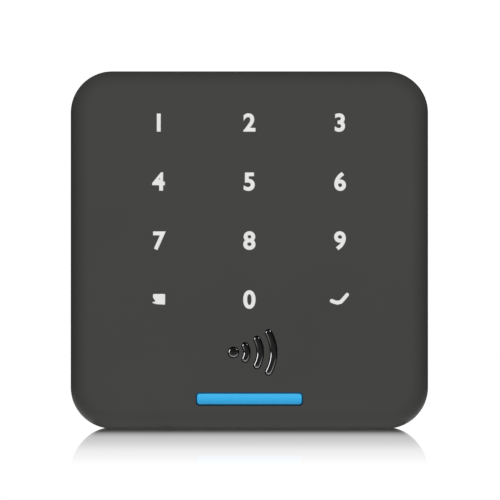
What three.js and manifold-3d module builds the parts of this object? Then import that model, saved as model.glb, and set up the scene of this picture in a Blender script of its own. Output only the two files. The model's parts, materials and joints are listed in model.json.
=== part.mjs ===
import * as THREE from "three";
import { mergeVertices } from "three/addons/utils/BufferGeometryUtils.js";
import Module from "manifold-3d";

// A keypad access reader that hangs on a steel plate over a square wall box, in millimetres.
// +X is right and +Z is up as seen from the front, and the front faces -Y. The origin is the
// centre of the face that meets the wall. A depth is a distance out from the wall, so depth d
// lies at y = -d, and near is always the smaller depth of a pair.

const wasm = await Module();
wasm.setup();

// ---- Driving dimensions ----

const SIDE = 86; // width and height of the square body
const DEPTH = 22; // wall to front face
const CORNER = 10; // corner radius seen from the front
const ROLL = { across: 4.5, deep: 5 }; // elliptical roll between the front face and the skirt
const SKIRT = 2.2; // side wall of the front cover, and thickness of its face
const GAP = 0.1; // play between fitted pieces
const PAST = 0.1; // how far a cutting shape runs past the face it cuts
const CORNER_STEPS = 3; // half the flats that make a quarter turn of an outline

const HALF = SIDE / 2;
const CAVITY_HALF = HALF - SKIRT;
const FACE_BACK = DEPTH - SKIRT;

// The reader lifts this far up the wall plate before it comes off its hooks.
const LIFT = 5;

// Depths of the layers, from the wall outwards.
const PLATE = { near: 0, far: 1.2 };
const HOUSING = { back: 1.4, floorBack: 5.2, floorFront: 7, shoulder: 8.2, lipFront: 10.6 };
const COVER_BACK = 9.2;
const MAIN_BOARD = { near: 12.2, far: 13.8 };
const FERRITE = { near: 15.4, far: 15.6 };
const COIL = { near: 15.65, far: 15.8 };
const KEYPAD_BOARD = { near: 15.9, far: 16.9 };
const BAFFLE = { near: 17, far: 18.6 };
const GUIDE = { near: 18.7, far: 19.7 };
const LEGEND_FAR = DEPTH - 0.05;

// Touch keys: a grid of three columns and four rows.
const KEY_PITCH = { x: 21.7, z: 14.12 };
const TOP_ROW_Z = 30.45;
const KEY_ROWS = [
  ["1", "2", "3"],
  ["4", "5", "6"],
  ["7", "8", "9"],
  ["clear", "0", "enter"],
];
const STROKE = 0.84; // line width of the legends
const LEGEND_HALF = { width: 1.35, height: 2.15 };
const BRIDGE = { width: 0.7, deep: 0.8 }; // ribs that hold the islands of closed digits

const LIGHT_BAR = { z: -35.65, halfLength: 12.85, halfHeight: 1.62 };
const CARD_SYMBOL = { z: -24.5, dotX: -3.8, radii: [3.2, 6.4, 9.6], spread: 29, stroke: 1.7 };

// Fixings.
const HOUSING_SCREW_AT = 34.3; // corner screws, in x and z
const KEYPAD_SCREW_AT = { x: 35.5, z: 15 };
const BOARD_SCREW_AT = { x: 23, z: 32.5 };

// Hooks of the wall plate: the upper edge of each arm carries the reader.
const HOOK_X = 25;
const HOOK_TOPS = [20, -16];
const HOOK = { halfWidth: 3, arm: 1.2, reach: 8.5, lipNear: 7.3, lipUp: 3.6 };

// Security screw, upwards through the bottom wall into the plate's tab.
const SECURITY_DEPTH = 5; // of its axis
const TAB = { halfWidth: 6, far: 8.2, bottom: -33, top: -31.8 };

// Tamper plunger, pressed by a ramp on the wall plate.
const TAMPER = { x: 23, z: -6, slope: 0.3 };
const RESET = { x: -22.5, z: -5 };

// Bay behind the boards: the plug bends up into it, and the network jack closes its top.
const BAY = { halfWidth: 11, bottom: -28.6, top: 18.4, near: 2.3, far: 15, boardLimit: 11.9 };
const BEZEL = { bottom: -3.4, top: -2.1 };

// ---- Materials ----

const plastic = (color, roughness) => new THREE.MeshStandardMaterial({ color, roughness });
const metal = (color, roughness) =>
  new THREE.MeshStandardMaterial({ color, roughness, metalness: 1 });

const MATERIALS = {
  cover: plastic(0x474745, 0.5),
  housing: plastic(0x2c2c2c, 0.6),
  legend: plastic(0xf2f2f2, 0.4),
  light: plastic(0x3db5f1, 0.3),
  baffle: plastic(0xe6e6e2, 0.7),
  rubber: plastic(0x1a1a1a, 0.9),
  board: plastic(0x1d4a2e, 0.5),
  chip: plastic(0x202124, 0.4),
  connector: plastic(0x16171a, 0.5),
  led: plastic(0xf4f1d8, 0.3),
  ferrite: plastic(0x3a3c40, 0.8),
  nylon: plastic(0xe9e6da, 0.5),
  reset: plastic(0x8c2b22, 0.5),
  chrome: metal(0xa2a2a4, 0.12),
  steel: metal(0xaeb2b5, 0.35),
  tin: metal(0xc4c7c8, 0.3),
  aluminium: metal(0xbfc3c6, 0.3),
  copper: metal(0xb87348, 0.35),
  gold: metal(0xd2a647, 0.3),
};

// ---- Solids ----

// A closed three.js geometry as a solid that can be joined and cut.
function solidFrom(geometry) {
  const bare = geometry.clone();
  bare.deleteAttribute("normal");
  bare.deleteAttribute("uv");
  const merged = mergeVertices(bare, 1e-4);
  return new wasm.Manifold(
    new wasm.Mesh({
      numProp: 3,
      vertProperties: new Float32Array(merged.attributes.position.array),
      triVerts: new Uint32Array(merged.index.array),
    }),
  );
}

function geometryFrom(solid) {
  const mesh = solid.getMesh();
  const geometry = new THREE.BufferGeometry();
  geometry.setAttribute("position", new THREE.BufferAttribute(mesh.vertProperties, 3));
  geometry.setIndex(new THREE.BufferAttribute(mesh.triVerts, 1));
  geometry.computeVertexNormals();
  return geometry;
}

const join = (...solids) => solids.flat().reduce((whole, solid) => whole.add(solid));
const cut = (solid, ...tools) => tools.flat().reduce((rest, tool) => rest.subtract(tool), solid);

// A shape drawn in x and z, given thickness from one depth to another. Grow moves its whole
// outline outwards, and the edges of its holes inwards.
function slab(shape, near, far, { grow = 0, curveSegments = CORNER_STEPS } = {}) {
  const geometry = new THREE.ExtrudeGeometry(shape, {
    depth: far - near,
    curveSegments,
    bevelEnabled: grow !== 0,
    bevelSegments: 0,
    bevelThickness: 0,
    bevelSize: grow,
  });
  geometry.rotateX(Math.PI / 2);
  geometry.translate(0, -near, 0);
  return solidFrom(geometry);
}

// A box from its limits in x, depth and z.
function block(x, depth, z) {
  const geometry = new THREE.BoxGeometry(x[1] - x[0], depth[1] - depth[0], z[1] - z[0]);
  geometry.translate((x[0] + x[1]) / 2, -(depth[0] + depth[1]) / 2, (z[0] + z[1]) / 2);
  return solidFrom(geometry);
}

// A round bar that points away from the wall.
function rod(radius, near, far, x, z, sides = 12) {
  const geometry = new THREE.CylinderGeometry(radius, radius, far - near, sides);
  geometry.translate(x, -(near + far) / 2, z);
  return solidFrom(geometry);
}

// A round bar that stands upright at x = 0.
function post(radius, depth, bottom, top, sides = 16) {
  const geometry = new THREE.CylinderGeometry(radius, radius, top - bottom, sides);
  geometry.rotateX(Math.PI / 2);
  geometry.translate(0, -depth, (bottom + top) / 2);
  return solidFrom(geometry);
}

function roundedRectangle(halfWidth, halfHeight, radius, x = 0, z = 0) {
  const right = x + halfWidth - radius;
  const left = x - halfWidth + radius;
  const top = z + halfHeight - radius;
  const bottom = z - halfHeight + radius;
  const quarter = Math.PI / 2;
  const shape = new THREE.Shape();
  shape.moveTo(left, bottom - radius);
  shape.lineTo(right, bottom - radius);
  shape.absarc(right, bottom, radius, -quarter, 0);
  shape.lineTo(right + radius, top);
  shape.absarc(right, top, radius, 0, quarter);
  shape.lineTo(left, top + radius);
  shape.absarc(left, top, radius, quarter, 2 * quarter);
  shape.lineTo(left - radius, bottom);
  shape.absarc(left, bottom, radius, 2 * quarter, 3 * quarter);
  return shape;
}

// A flat ring between two rounded squares about the middle of the reader.
function squareRing(outerHalf, innerHalf, outerRadius, near, far) {
  const innerRadius = outerRadius - (outerHalf - innerHalf);
  return cut(
    slab(roundedRectangle(outerHalf, outerHalf, outerRadius), near, far),
    slab(roundedRectangle(innerHalf, innerHalf, innerRadius), near - PAST, far + PAST),
  );
}

// The four places with these distances from the middle.
function fourCorners(x, z = x) {
  return [
    [-x, z],
    [x, z],
    [-x, -z],
    [x, -z],
  ];
}

// The four corners of a board cut away so that it passes the cover's screw columns.
function cornerNotches(from, to, near, far) {
  return fourCorners((from + to) / 2).map(([x, z]) => {
    const half = (to - from) / 2;
    return block([x - half, x + half], [near, far], [z - half, z + half]);
  });
}

// ---- Legends ----

const point = (x, z) => new THREE.Vector2(x, z);

// Points on an arc, in degrees, anticlockwise where the second angle is the larger.
function arc(x, z, radius, from, to, steps = 6) {
  return Array.from({ length: steps + 1 }, (_, i) => {
    const angle = THREE.MathUtils.degToRad(from + ((to - from) * i) / steps);
    return point(x + radius * Math.cos(angle), z + radius * Math.sin(angle));
  });
}

// The outline of a line of even width through these points.
function ribbon(points, width = STROKE) {
  const along = points.slice(1).map((p, i) => p.clone().sub(points[i]).normalize());
  const offsets = points.map((_, i) => {
    const before = along[Math.max(i - 1, 0)];
    const after = along[Math.min(i, along.length - 1)];
    const middle = before.clone().add(after).normalize();
    return point(-middle.y, middle.x).multiplyScalar(width / 2 / middle.dot(before));
  });
  const leftSide = points.map((p, i) => p.clone().add(offsets[i]));
  const rightSide = points.map((p, i) => p.clone().sub(offsets[i]));
  return new THREE.Shape([...rightSide, ...leftSide.reverse()]);
}

const line = (...coordinates) => ribbon(coordinates.map(([x, z]) => point(x, z)));

// A closed line of even width around a place.
function loop(halfWidth, halfHeight, z = 0) {
  const outer = halfWidth + STROKE / 2;
  const inner = halfWidth - STROKE / 2;
  const shape = roundedRectangle(outer, halfHeight + STROKE / 2, outer, 0, z);
  shape.holes.push(roundedRectangle(inner, halfHeight - STROKE / 2, inner, 0, z));
  return shape;
}

// The half sizes of a legend's centre lines.
const W = LEGEND_HALF.width - STROKE / 2;
const H = LEGEND_HALF.height - STROKE / 2;

function sixStrokes() {
  const tail = new THREE.QuadraticBezierCurve(point(-W, W - H), point(-W, 0.9), point(0.6, 1.85));
  return [loop(W, W, W - H), ribbon(tail.getPoints(4))];
}

function turned(shapes) {
  const flip = (path) => path.getPoints(2).map((p) => p.negate());
  return shapes.map((shape) => {
    const copy = new THREE.Shape(flip(shape));
    copy.holes = shape.holes.map((hole) => new THREE.Path(flip(hole)));
    return copy;
  });
}

// Each legend as the strokes that make it, about its own middle.
const LEGENDS = {
  0: [loop(W, H)],
  1: [line([0, -LEGEND_HALF.height], [0, LEGEND_HALF.height])],
  2: [
    ribbon([...arc(0, H - W, W, 165, -38), point(-0.78, -1.5)]),
    line([-LEGEND_HALF.width, -H], [LEGEND_HALF.width, -H]),
  ],
  3: [
    ribbon([...arc(0, 0.86, 0.87, 155, -90), point(-0.4, -0.01)]),
    ribbon(arc(0, -0.83, 0.9, 90, -155)),
  ],
  4: [
    line([0.78, -LEGEND_HALF.height], [0.78, LEGEND_HALF.height]),
    line([0.66, 1.86], [-1.12, -0.8]),
    line([-1.5, -0.85], [1.4, -0.85]),
  ],
  5: [
    line([1.15, H], [-0.74, H], [-0.84, 0.02]),
    ribbon(arc(-0.05, -0.76, 0.98, 128, -150)),
  ],
  6: sixStrokes(),
  7: [line([-LEGEND_HALF.width, H], [LEGEND_HALF.width, H]), line([0.85, 1.6], [-0.4, -2.15])],
  8: [loop(0.84, 0.84, 0.89), loop(0.92, 0.92, -0.81)],
  9: turned(sixStrokes()),
  // A solid block with a notch and a short tail at its lower left.
  clear: [
    new THREE.Shape(
      [
        [-1.35, 1.34],
        [-1.35, 0.55],
        [-0.68, -0.42],
        [-1.6, -0.64],
        [-0.75, -1],
        [1.5, -1.14],
        [1.5, 1.34],
      ].map(([x, z]) => point(x, z)),
    ),
  ],
  enter: [
    line([-2.3, -0.12], [-1.38, -0.53], [-0.57, -0.72], [0.22, -0.5], [1.1, 0.48], [1.95, 1.51]),
  ],
};

// Where the ribs cross each legend that has an island.
const BRIDGES = { 0: [0], 4: [0], 6: [0], 8: [0], 9: [0] };

// Every key as its legend's name and its middle.
const KEYS = KEY_ROWS.flatMap((row, r) =>
  row.map((legend, c) => ({
    legend,
    x: (c - 1) * KEY_PITCH.x,
    z: TOP_ROW_Z - r * KEY_PITCH.z,
  })),
);

function bridgesOf({ legend, x, z }, near, grow) {
  const half = BRIDGE.width / 2 + grow;
  return (BRIDGES[legend] ?? []).map((at) =>
    block(
      [x + at - half, x + at + half],
      [near, FACE_BACK + BRIDGE.deep + grow],
      [z - 2 * LEGEND_HALF.height, z + 2 * LEGEND_HALF.height],
    ),
  );
}

// A key's legend as a solid between two depths, less its bridges.
function legendSolid(key, near, far, grow, bridgeGrow) {
  const strokes = LEGENDS[key.legend].map((shape) =>
    slab(shape, near, far, { grow, curveSegments: 2 }),
  );
  const legend = join(strokes).translate([key.x, 0, key.z]);
  return cut(legend, bridgesOf(key, near - PAST, bridgeGrow));
}

// The generic card symbol: a dot and three arcs that open to the right.
function cardSymbolShapes() {
  const { dotX, radii, spread, stroke } = CARD_SYMBOL;
  const dot = new THREE.Shape();
  dot.absarc(dotX, 0, stroke * 0.75, 0, 2 * Math.PI);
  return [dot, ...radii.map((r) => ribbon(arc(dotX, 0, r, -spread, spread), stroke))];
}

function cardSymbol(near, far, grow) {
  const shapes = cardSymbolShapes();
  return join(shapes.map((shape) => slab(shape, near, far, { grow, curveSegments: 4 }))).translate([
    0,
    0,
    CARD_SYMBOL.z,
  ]);
}

// ---- Wall plate ----

function hookOn(side, top) {
  const x = [side * HOOK_X - HOOK.halfWidth, side * HOOK_X + HOOK.halfWidth];
  const arm = block(x, [PLATE.near, HOOK.reach], [top - HOOK.arm, top]);
  const lip = block(x, [HOOK.lipNear, HOOK.reach], [top - HOOK.arm, top + HOOK.lipUp]);
  return join(arm, lip);
}

// The window left in the plate where a hook was bent out of it.
function hookWindow(side, top) {
  const half = HOOK.halfWidth + 0.2;
  const long = HOOK.reach + HOOK.lipUp - 2.1;
  return block(
    [side * HOOK_X - half, side * HOOK_X + half],
    [PLATE.near - PAST, PLATE.far + PAST],
    [top - HOOK.arm - long, top - HOOK.arm],
  );
}

// A pressed wedge that pushes the tamper plunger in when the reader hangs in place.
function tamperRamp() {
  const high = TAMPER.z - 1.5;
  const low = TAMPER.z + LIFT;
  const rise = TAMPER.slope * (low - high);
  const side = new THREE.Shape([
    point(-PLATE.far + 0.4, high),
    point(-PLATE.far - rise, high),
    point(-PLATE.far, low),
    point(-PLATE.far + 0.4, low),
  ]);
  const wide = 4.4;
  const geometry = new THREE.ExtrudeGeometry(side, { depth: wide, bevelEnabled: false });
  // The shape's x becomes y, its y becomes z, and the extrusion runs along x.
  geometry.applyMatrix4(
    new THREE.Matrix4().makeBasis(
      new THREE.Vector3(0, 1, 0),
      new THREE.Vector3(0, 0, 1),
      new THREE.Vector3(1, 0, 0),
    ),
  );
  geometry.translate(TAMPER.x - wide / 2, 0, 0);
  return solidFrom(geometry);
}

function wallPlate() {
  const through = [PLATE.near - PAST, PLATE.far + PAST];
  const sheet = slab(roundedRectangle(35.5, 33, 5), PLATE.near, PLATE.far);
  const cableWindow = slab(roundedRectangle(17, 25.25, 3, 0, -1.75), ...through);
  const sideSlots = [-1, 1].map((side) =>
    slab(roundedRectangle(3.2, 2.2, 2.2, side * 30.15, 0), ...through),
  );
  const roundHoles = [
    [0, 28.3],
    [-14, -30],
    [14, -30],
  ].map(([x, z]) => rod(2.1, ...through, x, z));
  const hooks = [-1, 1].flatMap((side) => HOOK_TOPS.map((top) => hookOn(side, top)));
  const windows = [-1, 1].flatMap((side) => HOOK_TOPS.map((top) => hookWindow(side, top)));
  const tab = block([-TAB.halfWidth, TAB.halfWidth], [PLATE.near, TAB.far], [TAB.bottom, TAB.top]);
  const tabHole = post(1.65, SECURITY_DEPTH, TAB.bottom - PAST, TAB.top + PAST);
  const pierced = cut(sheet, cableWindow, sideSlots, roundHoles, windows);
  return join(pierced, hooks, cut(tab, tabHole), tamperRamp());
}

function tabNut() {
  const nut = post(3.15, SECURITY_DEPTH, -31.7, -29.5, 6);
  return cut(nut, post(1.65, SECURITY_DEPTH, -32, -29));
}

// ---- Rear housing ----

function housingTray() {
  const edge = 0.8;
  const half = HALF - edge;
  const geometry = new THREE.ExtrudeGeometry(roundedRectangle(half, half, CORNER - edge), {
    depth: HOUSING.shoulder - HOUSING.back,
    curveSegments: CORNER_STEPS,
    bevelSegments: 1,
    bevelThickness: edge,
    bevelSize: edge,
    bevelOffset: -edge,
  });
  geometry.rotateX(Math.PI / 2);
  geometry.translate(0, -HOUSING.back - edge, 0);
  const reach = HALF + PAST;
  const outer = solidFrom(geometry).intersect(
    block([-reach, reach], [0, HOUSING.shoulder], [-reach, reach]),
  );
  const lip = squareRing(40.5, 38.5, 7.5, HOUSING.shoulder - PAST, HOUSING.lipFront);
  const inside = slab(
    roundedRectangle(38.5, 38.5, 5.5),
    HOUSING.floorFront,
    HOUSING.shoulder + PAST,
  );
  const pocket = slab(roundedRectangle(40, 40, 7), HOUSING.back - PAST, HOUSING.floorBack);
  return join(cut(outer, inside, pocket), lip);
}

// The raised box around a hook: the hook enters by the slot and its lip rises inside.
function hookWell(side, top) {
  const x = side * HOOK_X;
  return block([x - 4.6, x + 4.6], [HOUSING.floorFront - PAST, 9.8], [top - 7.5, top + 5.2]);
}

function hookRoom(side, top) {
  const x = [side * HOOK_X - 3.6, side * HOOK_X + 3.6];
  const slot = block(x, [HOUSING.floorBack - PAST, HOUSING.floorFront + PAST], [
    top - LIFT - 1.5,
    top + 0.15,
  ]);
  const well = block(x, [HOUSING.floorFront, 8.9], [top - LIFT - 1.5, top + 4.3]);
  return join(slot, well);
}

function plugBayWalls() {
  const x = [-BAY.halfWidth, BAY.halfWidth];
  const lower = block(x, [BAY.near, BAY.far], [BAY.bottom, BEZEL.top]);
  const upper = block(x, [BAY.near, BAY.boardLimit], [BEZEL.top - PAST, BAY.top]);
  return join(lower, upper);
}

function plugBayRoom() {
  const plug = block([-9.6, 9.6], [HOUSING.back - PAST, 13.6], [-27.2, BEZEL.bottom]);
  const jack = block([-8.3, 8.3], [3.6, BAY.far + PAST], [BEZEL.top, 16.4]);
  const mouth = block([-6.3, 6.3], [4.9, 14], [BEZEL.bottom - PAST, BEZEL.top + PAST]);
  return [plug, jack, mouth];
}

// The block around the plate's tab, and the boss that the security screw passes through.
function screwBayWalls() {
  return block([-8.4, 8.4], [HOUSING.floorBack, 11.6], [-40.2, -28]);
}

function bossBelowPocket() {
  return block([-8.4, 8.4], [HOUSING.back, HOUSING.floorBack + PAST], [-40.2, -38.8]);
}

function screwBayRoom() {
  const bay = block([-7, 7], [HOUSING.back - PAST, 10.2], [-38.8, BAY.bottom]);
  const hole = post(1.7, SECURITY_DEPTH, -HALF, -38);
  const headRecess = post(2.6, SECURITY_DEPTH, -HALF, -40.2);
  return [bay, hole, headRecess];
}

function rearHousing() {
  const sides = [-1, 1];
  const wells = sides.flatMap((side) => HOOK_TOPS.map((top) => hookWell(side, top)));
  const rooms = sides.flatMap((side) => HOOK_TOPS.map((top) => hookRoom(side, top)));
  const boardPosts = fourCorners(BOARD_SCREW_AT.x, BOARD_SCREW_AT.z).map(([x, z]) =>
    rod(2.5, HOUSING.floorFront - PAST, MAIN_BOARD.near - GAP, x, z),
  );
  const pilots = fourCorners(BOARD_SCREW_AT.x, BOARD_SCREW_AT.z).map(([x, z]) =>
    rod(1.15, 8.6, MAIN_BOARD.near, x, z, 12),
  );
  const screwHoles = fourCorners(HOUSING_SCREW_AT).map(([x, z]) =>
    rod(1.5, HOUSING.floorBack - PAST, HOUSING.floorFront + PAST, x, z),
  );
  const floor = [HOUSING.floorBack - PAST, HOUSING.floorFront + PAST];
  const soundHoles = arc(10.5, 27, 3, 0, 288, 4).map((p) => rod(0.6, ...floor, p.x, p.y, 8));
  const plungerHole = rod(2.05, ...floor, TAMPER.x, TAMPER.z);
  const resetHole = rod(1.3, ...floor, RESET.x, RESET.z);
  const walls = join(
    housingTray(),
    wells,
    boardPosts,
    plugBayWalls(),
    screwBayWalls(),
    bossBelowPocket(),
  );
  return cut(
    walls,
    rooms,
    pilots,
    screwHoles,
    soundHoles,
    plungerHole,
    resetHole,
    plugBayRoom(),
    screwBayRoom(),
  );
}

// ---- Front cover and its lit pieces ----

function coverShell() {
  const geometry = new THREE.ExtrudeGeometry(roundedRectangle(HALF, HALF, CORNER), {
    depth: DEPTH - ROLL.deep - COVER_BACK + 1,
    curveSegments: CORNER_STEPS,
    bevelSegments: 4,
    bevelThickness: ROLL.deep,
    bevelSize: ROLL.across,
    bevelOffset: -ROLL.across,
  });
  geometry.rotateX(Math.PI / 2);
  geometry.translate(0, -COVER_BACK + 1, 0);
  const reach = HALF + PAST;
  const outer = solidFrom(geometry).intersect(
    block([-reach, reach], [COVER_BACK, DEPTH + PAST], [-reach, reach]),
  );
  const cavity = slab(
    roundedRectangle(CAVITY_HALF, CAVITY_HALF, CORNER - SKIRT),
    COVER_BACK - PAST,
    FACE_BACK,
  );
  return cut(outer, cavity);
}

function frontCover() {
  const columns = fourCorners(HOUSING_SCREW_AT).map(([x, z]) =>
    rod(3.2, HOUSING.floorFront + 0.3, FACE_BACK + PAST, x, z),
  );
  const columnPilots = fourCorners(HOUSING_SCREW_AT).map(([x, z]) =>
    rod(1.2, HOUSING.floorFront, 16.5, x, z, 12),
  );
  const bosses = fourCorners(KEYPAD_SCREW_AT.x, KEYPAD_SCREW_AT.z).map(([x, z]) =>
    rod(2.2, KEYPAD_BOARD.far + GAP, FACE_BACK + PAST, x, z),
  );
  const bossPilots = fourCorners(KEYPAD_SCREW_AT.x, KEYPAD_SCREW_AT.z).map(([x, z]) =>
    rod(1, KEYPAD_BOARD.far, 19.4, x, z, 12),
  );
  const through = [FACE_BACK - PAST, DEPTH + PAST];
  const legendSlots = KEYS.map((key) => legendSolid(key, ...through, GAP, 0));
  const { z, halfLength, halfHeight } = LIGHT_BAR;
  const barSlot = slab(roundedRectangle(halfLength, halfHeight, 0.9, 0, z), ...through);
  return cut(
    join(coverShell(), columns, bosses),
    columnPilots,
    bossPilots,
    legendSlots,
    barSlot,
    cardSymbol(...through, GAP),
  );
}

// One clear plate behind the face, with a lit stud standing in each legend's slot.
function legendLightGuide() {
  const plate = slab(roundedRectangle(28, 26, 2, 0, 9.5), GUIDE.near, GUIDE.far);
  const studs = KEYS.map((key) => legendSolid(key, GUIDE.far - PAST, LEGEND_FAR, 0, GAP));
  const notches = KEYS.flatMap((key) => bridgesOf(key, GUIDE.far, GAP));
  return join(plate, cut(join(studs), notches));
}

function statusLightBar() {
  const { z, halfLength, halfHeight } = LIGHT_BAR;
  const flange = slab(roundedRectangle(14, 2.9, 1, 0, z), FACE_BACK - 1, FACE_BACK - GAP);
  const lens = slab(
    roundedRectangle(halfLength - GAP, halfHeight - GAP, 0.8, 0, z),
    FACE_BACK - 0.2,
    DEPTH - GAP,
  );
  return join(flange, lens);
}

function cardSymbolInsert() {
  const { z } = CARD_SYMBOL;
  const base = slab(roundedRectangle(7.8, 6.7, 1.5, 0, z), FACE_BACK - 1, FACE_BACK - GAP);
  return join(base, cardSymbol(FACE_BACK - 0.2, DEPTH, 0));
}

// A white frame that keeps each key's light to its own legend.
function lightBaffle() {
  const frame = cut(
    block([-32.8, 32.8], [BAFFLE.near, BAFFLE.far], [-39.2, 37.6]),
    cornerNotches(30.5, 42, BAFFLE.near - PAST, BAFFLE.far + PAST),
  );
  const keyWells = KEYS.map(({ x, z }) =>
    block([x - 4.5, x + 4.5], [BAFFLE.near - PAST, BAFFLE.far + PAST], [z - 4, z + 4]),
  );
  const barWell = block(
    [-13.2, 13.2],
    [BAFFLE.near - PAST, BAFFLE.far + PAST],
    [LIGHT_BAR.z - 2.3, LIGHT_BAR.z + 2.1],
  );
  return cut(frame, keyWells, barWell);
}

// ---- Boards ----

function keypadBoard() {
  const { near, far } = KEYPAD_BOARD;
  const holes = fourCorners(KEYPAD_SCREW_AT.x, KEYPAD_SCREW_AT.z).map(([x, z]) =>
    rod(1.1, near - PAST, far + PAST, x, z, 12),
  );
  return cut(
    slab(roundedRectangle(38, 38, 1), near, far),
    cornerNotches(30.2, 39, near - PAST, far + PAST),
    holes,
  );
}

// A flat square spiral of three turns.
function antennaCoil() {
  const turns = 3;
  const pitch = 1.35;
  const points = [];
  for (let turn = 0; turn < turns; turn += 1) {
    const half = 29 - turn * pitch;
    points.push(point(-half, half), point(half, half), point(half, -half));
    points.push(point(-half, -half), point(-half, half - pitch));
  }
  // Each turn starts where the last one ended, so the repeated corners are left out.
  const corners = points.filter((p, i) => i === 0 || p.distanceTo(points[i - 1]) > pitch);
  return slab(ribbon(corners, 0.8), COIL.near, COIL.far);
}

function mainBoard() {
  const { near, far } = MAIN_BOARD;
  const through = [near - PAST, far + PAST];
  const holes = fourCorners(BOARD_SCREW_AT.x, BOARD_SCREW_AT.z).map(([x, z]) =>
    rod(1.25, ...through, x, z, 12),
  );
  return cut(
    slab(roundedRectangle(37, 37, 1), near, far),
    cornerNotches(28.5, 38, ...through),
    holes,
    block([-11.4, 11.4], through, [-29, BEZEL.top + 0.3]),
    block([-8.3, 8.3], through, [BEZEL.top, 16.6]),
  );
}

function processorChip() {
  const top = MAIN_BOARD.near - GAP;
  return slab(roundedRectangle(4, 4, 0.3, -16, 8), top - 1.2, top, { curveSegments: 1 });
}

function radioShieldCan() {
  const top = MAIN_BOARD.near - GAP;
  return slab(roundedRectangle(8, 5, 0.6, -8, 26.5), top - 2.2, top, { curveSegments: 2 });
}

function buzzer() {
  const top = MAIN_BOARD.near - GAP;
  const body = rod(5.5, top - 3, top, 10.5, 27, 20);
  return cut(body, rod(1, top - 3 - PAST, top - 2, 10.5, 27, 12));
}

function poeTransformer() {
  const top = MAIN_BOARD.near - GAP;
  const base = block([12, 19.6], [top - 0.9, top], [-24.5, -15.5]);
  const core = block([12.4, 19.2], [top - 4.7, top - 0.9 + PAST], [-23.6, -16.4]);
  return join(base, core);
}

function powerInductor() {
  const top = MAIN_BOARD.near - GAP;
  return slab(roundedRectangle(3.5, 3.5, 1, -15.8, -20), top - 3.4, top, { curveSegments: 2 });
}

function powerCapacitor() {
  const top = MAIN_BOARD.near - GAP;
  const foot = block([13.2, 18.4], [top - 0.6, top], [-0.6, 4.6]);
  return join(foot, rod(2.5, top - 4.5, top - 0.6 + PAST, 15.8, 2, 20));
}

function boardConnector(near, far, halfWidth) {
  return block([-halfWidth, halfWidth], [near, far], [32.2, 35.4]);
}

// ---- Network jack ----

function jackShield() {
  const outer = block([-8, 8], [3.9, 15.3], [-1.9, 16]);
  const inner = block([-7.7, 7.7], [4.2, 15], [-1.9 - PAST, 15.7]);
  const ears = [-1, 1].map((side) =>
    block([Math.min(side * 7.9, side * 9.8), Math.max(side * 7.9, side * 9.8)], [13.9, 14.2], [
      4, 7,
    ]),
  );
  return join(cut(outer, inner), ears);
}

function jackInsert() {
  const body = block([-7.6, 7.6], [4.3, 14.9], [-1.8, 15.6]);
  const port = block([-5.95, 5.95], [6.6, 13.4], [-1.8 - PAST, 11]);
  const latchSlot = block([-3.2, 3.2], [5.2, 6.7], [-1.8 - PAST, 11]);
  return cut(body, port, latchSlot);
}

// Eight spring contacts on one carrier strip.
function jackContacts() {
  const pitch = 1.02;
  const strip = block([-4.3, 4.3], [12.5, 13.2], [10, 10.8]);
  const fingers = Array.from({ length: 8 }, (_, i) => {
    const x = (i - 3.5) * pitch;
    return block([x - 0.2, x + 0.2], [12.75, 13.05], [3, 10.1]);
  });
  return join(strip, fingers);
}

// ---- Tamper and reset ----

function tamperSwitch() {
  const { x, z } = TAMPER;
  const cup = block([x - 3.75, x + 3.75], [7.3, 12.1], [z - 3.75, z + 3.75]);
  return cut(cup, rod(2.6, 7.2, 11.2, x, z));
}

// The plunger's rounded nose, its stem, and the collar that its spring bears on.
function tamperPlunger() {
  const { x, z } = TAMPER;
  const radius = 1.8;
  const collarRadius = 2.35;
  const nose = 2.94; // depth of its tip
  const collar = { near: 8.9, far: 9.9 };
  const dome = arc(0, 0, radius, 0, 90, 4).map((p) => point(p.x, -nose - radius + p.y));
  dome[dome.length - 1].x = 0;
  const profile = [
    point(0, -collar.far),
    point(collarRadius, -collar.far),
    point(collarRadius, -collar.near),
    point(radius, -collar.near),
    ...dome,
  ];
  const geometry = new THREE.LatheGeometry(profile, 14);
  geometry.translate(x, 0, z);
  return solidFrom(geometry);
}

class SpringPath extends THREE.Curve {
  constructor(radius, near, far, turns) {
    super();
    Object.assign(this, { radius, near, far, turns });
  }
  getPoint(t, target = new THREE.Vector3()) {
    const angle = 2 * Math.PI * this.turns * t;
    const depth = THREE.MathUtils.lerp(this.near, this.far, t);
    return target.set(
      TAMPER.x + this.radius * Math.cos(angle),
      -depth,
      TAMPER.z + this.radius * Math.sin(angle),
    );
  }
}

function tamperSpring() {
  const wire = 0.15;
  const section = new THREE.Shape();
  section.absarc(0, 0, wire, 0, 2 * Math.PI);
  const path = new SpringPath(1.9, 9.9 + GAP + wire, 11.2 - GAP - wire, 2.1);
  const geometry = new THREE.ExtrudeGeometry(section, {
    steps: 30,
    curveSegments: 3,
    extrudePath: path,
  });
  return solidFrom(geometry);
}

function resetSwitch() {
  const { x, z } = RESET;
  const cup = block([x - 2.3, x + 2.3], [8.4, 12.1], [z - 2.3, z + 2.3]);
  return cut(cup, rod(1.35, 8.3, 10.2, x, z));
}

function resetButton() {
  const { x, z } = RESET;
  return join(rod(1, 5.6, 9.1, x, z), rod(1.2, 9, 9.6, x, z));
}

// ---- Fasteners ----

// A screw whose head is nearer the wall, with a hexagonal drive socket.
function rearScrew({ headRadius, headNear, headFar, shankRadius, shankFar }, x, z) {
  const head = rod(headRadius, headNear, headFar, x, z, 12);
  const shank = rod(shankRadius, headFar - PAST, shankFar, x, z, 8);
  const socket = rod(headRadius * 0.45, headNear - PAST, headNear + 0.8, x, z, 6);
  return cut(join(head, shank), socket);
}

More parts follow.
